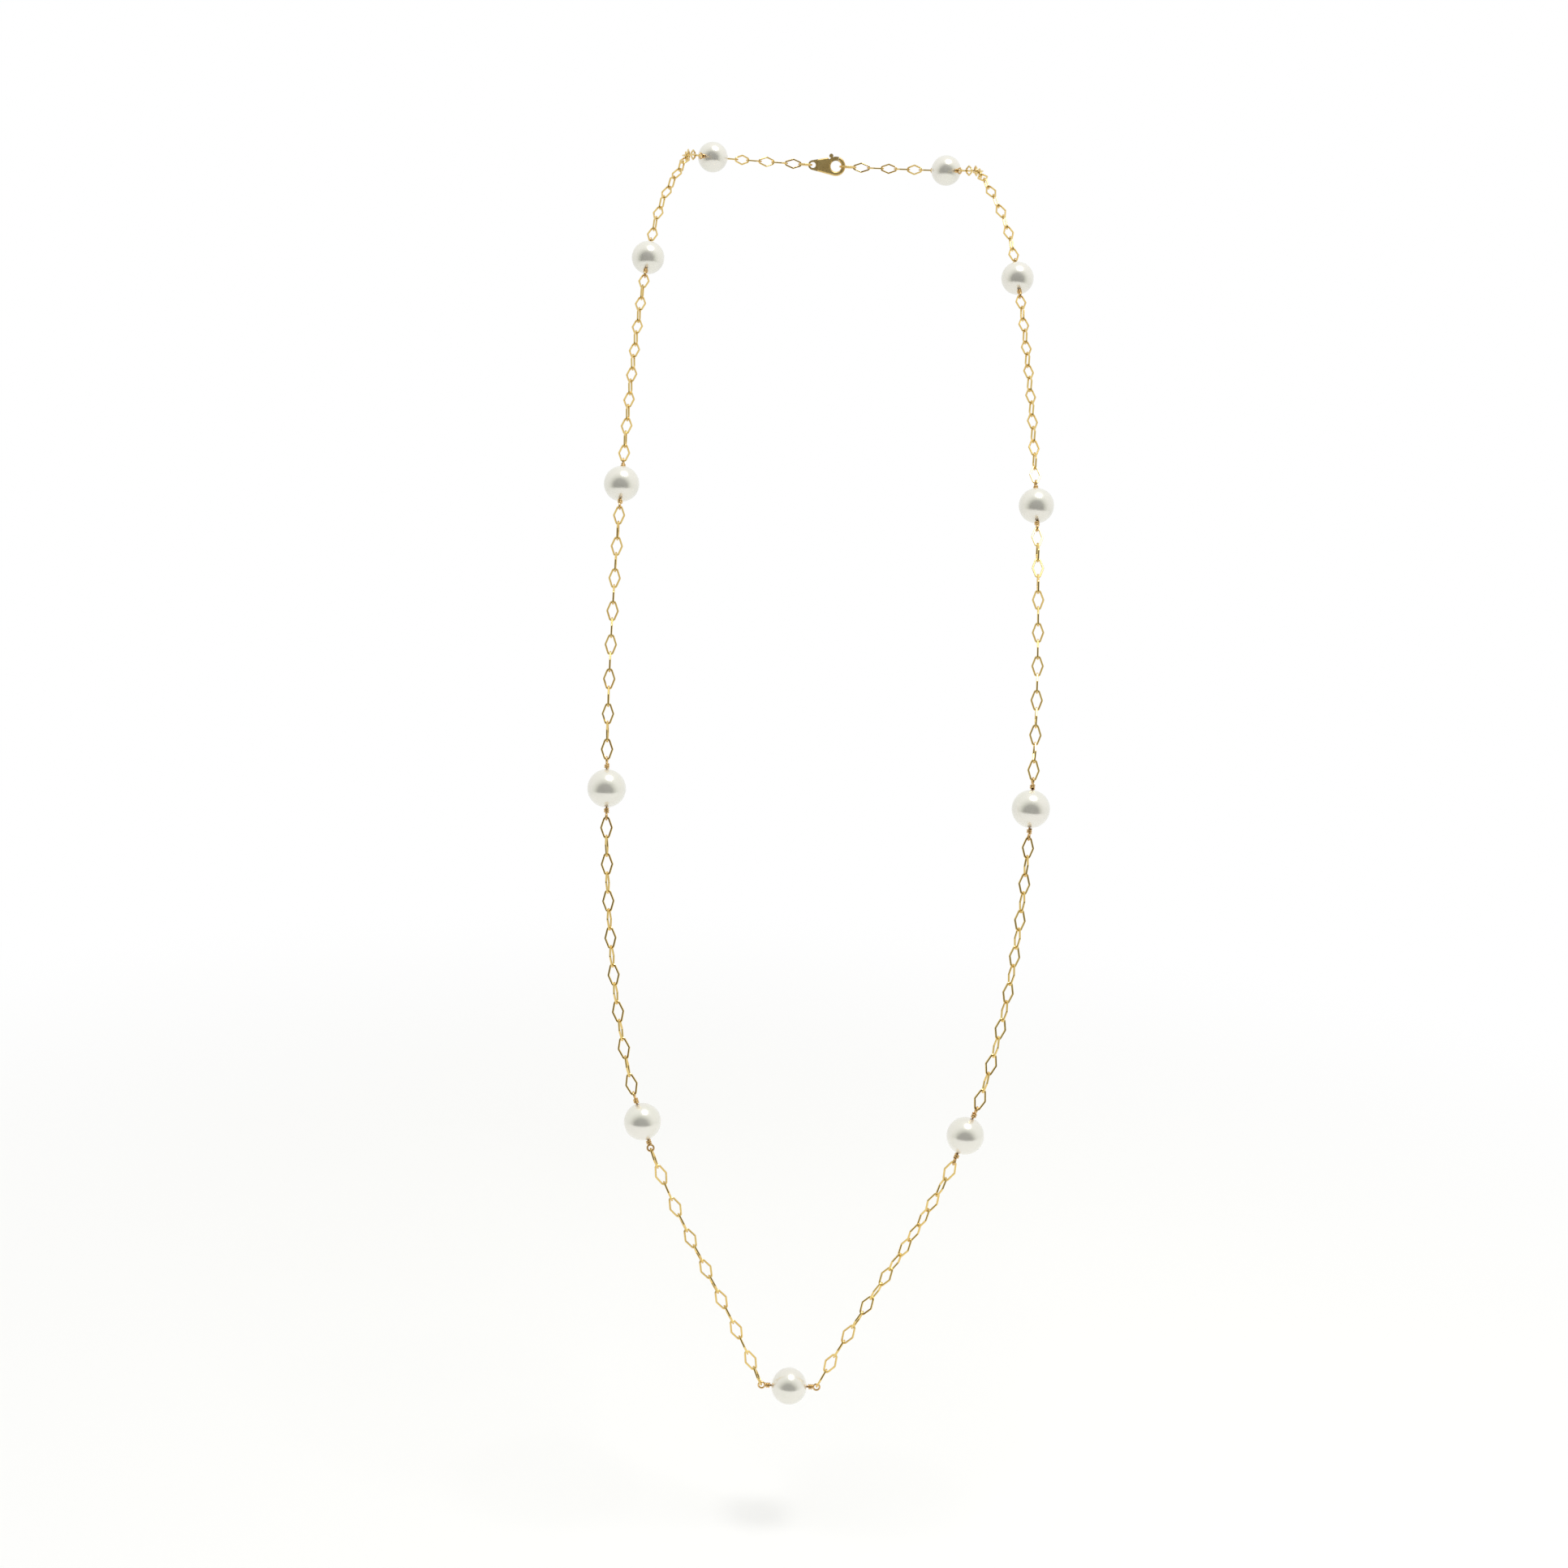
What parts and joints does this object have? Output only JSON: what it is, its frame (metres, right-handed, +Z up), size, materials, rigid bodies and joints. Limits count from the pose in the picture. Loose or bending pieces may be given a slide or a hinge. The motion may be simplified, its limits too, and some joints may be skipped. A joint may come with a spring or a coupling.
{
  "type": "pearl necklace",
  "caption": "Long station necklace: single drilled pearls on wrapped wires, joined by runs of fine diamond-shaped links and closed at the nape by a lobster clasp.",
  "frame": {"origin": "nape of the neck, in the middle of the clasp", "axes": "+Z up, front of the wearer towards -Y, clasp lying along X with its claw towards +X"},
  "size_m": [0.1032, 0.1927, 0.2799],
  "materials": {
    "pearl": "lustrous, cream white",
    "wire": "polished, warm reddish gold",
    "clasp": "polished yellow gold",
    "chain": "polished yellow gold, flat sides"
  },
  "bodies": {
    "nape": {"clasp_body": "clasp", "clasp_pin": "clasp", "clasp_spring": "clasp", "chain_clasp_01": "chain", "chain_11_catch": "chain", "wire_01": "wire", "wire_11": "wire"},
    "chain_01_02": {"chain_01_02": "chain"},
    "wire_02": {"wire_02": "wire"},
    "chain_02_03": {"chain_02_03": "chain"},
    "wire_03": {"wire_03": "wire"},
    "chain_03_04": {"chain_03_04": "chain"},
    "wire_04": {"wire_04": "wire"},
    "chain_04_05": {"chain_04_05": "chain"},
    "wire_05": {"wire_05": "wire"},
    "chain_05_06": {"chain_05_06": "chain"},
    "wire_06": {"wire_06": "wire"},
    "chain_10_11": {"chain_10_11": "chain"},
    "wire_10": {"wire_10": "wire"},
    "chain_09_10": {"chain_09_10": "chain"},
    "wire_09": {"wire_09": "wire"},
    "chain_08_09": {"chain_08_09": "chain"},
    "wire_08": {"wire_08": "wire"},
    "chain_07_08": {"chain_07_08": "chain"},
    "wire_07": {"wire_07": "wire"},
    "chain_06_07": {"chain_06_07": "chain"},
    "pearl_01": {"pearl_01": "pearl"},
    "pearl_02": {"pearl_02": "pearl"},
    "pearl_03": {"pearl_03": "pearl"},
    "pearl_04": {"pearl_04": "pearl"},
    "pearl_05": {"pearl_05": "pearl"},
    "pearl_06": {"pearl_06": "pearl"},
    "pearl_07": {"pearl_07": "pearl"},
    "pearl_08": {"pearl_08": "pearl"},
    "pearl_09": {"pearl_09": "pearl"},
    "pearl_10": {"pearl_10": "pearl"},
    "pearl_11": {"pearl_11": "pearl"},
    "clasp_lever": {"clasp_lever": "clasp"},
    "jump_ring": {"jump_ring": "clasp"},
    "catch_ring": {"catch_ring": "clasp"}
  },
  "joints": [
    {"name": "chain_01_02_lift", "type": "hinge", "parent": "nape", "child": "chain_01_02", "pos_m": [-0.03491, -0.02279, -0.00052], "axis": [-1, 0, 0], "range_deg": [0, 30]},
    {"name": "wire_02_lift", "type": "hinge", "parent": "chain_01_02", "child": "wire_02", "pos_m": [-0.04509, -0.07384, -0.024], "axis": [-1, 0, 0], "range_deg": [0, 30]},
    {"name": "chain_02_03_lift", "type": "hinge", "parent": "wire_02", "child": "chain_02_03", "pos_m": [-0.04595, -0.08337, -0.03275], "axis": [-1, 0, 0], "range_deg": [0, 30]},
    {"name": "wire_03_lift", "type": "hinge", "parent": "chain_02_03", "child": "wire_03", "pos_m": [-0.04746, -0.12638, -0.0745], "axis": [-1, 0, 0], "range_deg": [0, 30]},
    {"name": "chain_03_04_lift", "type": "hinge", "parent": "wire_03", "child": "chain_03_04", "pos_m": [-0.04755, -0.13461, -0.08465], "axis": [-1, 0, 0], "range_deg": [0, 30]},
    {"name": "wire_04_lift", "type": "hinge", "parent": "chain_03_04", "child": "wire_04", "pos_m": [-0.04686, -0.1642, -0.13667], "axis": [-1, 0, 0], "range_deg": [0, 30]},
    {"name": "chain_04_05_lift", "type": "hinge", "parent": "wire_04", "child": "chain_04_05", "pos_m": [-0.04621, -0.16926, -0.14903], "axis": [-1, 0, 0], "range_deg": [0, 30]},
    {"name": "wire_05_lift", "type": "hinge", "parent": "chain_04_05", "child": "wire_05", "pos_m": [-0.03728, -0.18522, -0.20592], "axis": [-1, 0, 0], "range_deg": [0, 30]},
    {"name": "chain_05_06_lift", "type": "hinge", "parent": "wire_05", "child": "chain_05_06", "pos_m": [-0.03292, -0.18659, -0.21816], "axis": [-1, 0, 0], "range_deg": [0, 30]},
    {"name": "wire_06_swing", "type": "hinge", "parent": "chain_05_06", "child": "wire_06", "pos_m": [-0.00629, -0.18628, -0.27189], "axis": [-1, 0, 0], "range_deg": [-15, 15]},
    {"name": "chain_10_11_lift", "type": "hinge", "parent": "nape", "child": "chain_10_11", "pos_m": [0.03491, -0.02279, -0.00052], "axis": [-1, 0, 0], "range_deg": [0, 30]},
    {"name": "wire_10_lift", "type": "hinge", "parent": "chain_10_11", "child": "wire_10", "pos_m": [0.04509, -0.07384, -0.024], "axis": [-1, 0, 0], "range_deg": [0, 30]},
    {"name": "chain_09_10_lift", "type": "hinge", "parent": "wire_10", "child": "chain_09_10", "pos_m": [0.04595, -0.08337, -0.03275], "axis": [-1, 0, 0], "range_deg": [0, 30]},
    {"name": "wire_09_lift", "type": "hinge", "parent": "chain_09_10", "child": "wire_09", "pos_m": [0.04746, -0.12638, -0.0745], "axis": [-1, 0, 0], "range_deg": [0, 30]},
    {"name": "chain_08_09_lift", "type": "hinge", "parent": "wire_09", "child": "chain_08_09", "pos_m": [0.04755, -0.13461, -0.08465], "axis": [-1, 0, 0], "range_deg": [0, 30]},
    {"name": "wire_08_lift", "type": "hinge", "parent": "chain_08_09", "child": "wire_08", "pos_m": [0.04686, -0.1642, -0.13667], "axis": [-1, 0, 0], "range_deg": [0, 30]},
    {"name": "chain_07_08_lift", "type": "hinge", "parent": "wire_08", "child": "chain_07_08", "pos_m": [0.04621, -0.16926, -0.14903], "axis": [-1, 0, 0], "range_deg": [0, 30]},
    {"name": "wire_07_lift", "type": "hinge", "parent": "chain_07_08", "child": "wire_07", "pos_m": [0.03728, -0.18522, -0.20592], "axis": [-1, 0, 0], "range_deg": [0, 30]},
    {"name": "chain_06_07_lift", "type": "hinge", "parent": "wire_07", "child": "chain_06_07", "pos_m": [0.03292, -0.18659, -0.21816], "axis": [-1, 0, 0], "range_deg": [0, 30]},
    {"name": "pearl_01_turn", "type": "hinge", "parent": "nape", "child": "pearl_01", "pos_m": [-0.03148, -0.01728, -0.00038], "axis": [-0.5289, -0.8484, -0.0209], "continuous": true},
    {"name": "pearl_02_turn", "type": "hinge", "parent": "wire_02", "child": "pearl_02", "pos_m": [-0.04552, -0.07861, -0.02838], "axis": [-0.0662, -0.7352, -0.6746], "continuous": true},
    {"name": "pearl_03_turn", "type": "hinge", "parent": "wire_03", "child": "pearl_03", "pos_m": [-0.04751, -0.13049, -0.07958], "axis": [-0.0069, -0.6295, -0.777], "continuous": true},
    {"name": "pearl_04_turn", "type": "hinge", "parent": "wire_04", "child": "pearl_04", "pos_m": [-0.04653, -0.16673, -0.14285], "axis": [0.0484, -0.3787, -0.9243], "continuous": true},
    {"name": "pearl_05_turn", "type": "hinge", "parent": "wire_05", "child": "pearl_05", "pos_m": [-0.0351, -0.1859, -0.21204], "axis": [0.3335, -0.1049, -0.9369], "continuous": true},
    {"name": "pearl_06_turn", "type": "hinge", "parent": "wire_06", "child": "pearl_06", "pos_m": [0, -0.18628, -0.27228], "axis": [1, 0, 0], "continuous": true},
    {"name": "pearl_07_turn", "type": "hinge", "parent": "wire_07", "child": "pearl_07", "pos_m": [0.0351, -0.1859, -0.21204], "axis": [0.3335, 0.1049, 0.9369], "continuous": true},
    {"name": "pearl_08_turn", "type": "hinge", "parent": "wire_08", "child": "pearl_08", "pos_m": [0.04653, -0.16673, -0.14285], "axis": [0.0484, 0.3787, 0.9243], "continuous": true},
    {"name": "pearl_09_turn", "type": "hinge", "parent": "wire_09", "child": "pearl_09", "pos_m": [0.04751, -0.13049, -0.07958], "axis": [-0.0069, 0.6295, 0.777], "continuous": true},
    {"name": "pearl_10_turn", "type": "hinge", "parent": "wire_10", "child": "pearl_10", "pos_m": [0.04552, -0.07861, -0.02838], "axis": [-0.0662, 0.7352, 0.6746], "continuous": true},
    {"name": "pearl_11_turn", "type": "hinge", "parent": "nape", "child": "pearl_11", "pos_m": [0.03148, -0.01728, -0.00038], "axis": [-0.5289, 0.8484, 0.0209], "continuous": true},
    {"name": "clasp_lever_press", "type": "hinge", "parent": "nape", "child": "clasp_lever", "pos_m": [-0.00029, 0, 0.0008], "axis": [0, 1, 0], "range_deg": [0, 22], "stiffness_Nm_per_rad": 0.004, "springref_deg": -22.92, "deforming": ["clasp_spring"]},
    {"name": "jump_ring_swivel", "type": "hinge", "parent": "nape", "child": "jump_ring", "pos_m": [-0.00609, 0, 0], "axis": [1, 0, 0], "range_deg": [-10, 10]},
    {"name": "catch_ring_swivel", "type": "hinge", "parent": "nape", "child": "catch_ring", "pos_m": [0.00569, 0, 0], "axis": [1, 0, 0], "range_deg": [-10, 10]}
  ],
  "couplings": [
    {"joint": "chain_10_11_lift", "follows": "chain_01_02_lift", "ratio": 1},
    {"joint": "wire_10_lift", "follows": "wire_02_lift", "ratio": 1},
    {"joint": "chain_09_10_lift", "follows": "chain_02_03_lift", "ratio": 1},
    {"joint": "wire_09_lift", "follows": "wire_03_lift", "ratio": 1},
    {"joint": "chain_08_09_lift", "follows": "chain_03_04_lift", "ratio": 1},
    {"joint": "wire_08_lift", "follows": "wire_04_lift", "ratio": 1},
    {"joint": "chain_07_08_lift", "follows": "chain_04_05_lift", "ratio": 1},
    {"joint": "wire_07_lift", "follows": "wire_05_lift", "ratio": 1},
    {"joint": "chain_06_07_lift", "follows": "chain_05_06_lift", "ratio": 1}
  ]
}
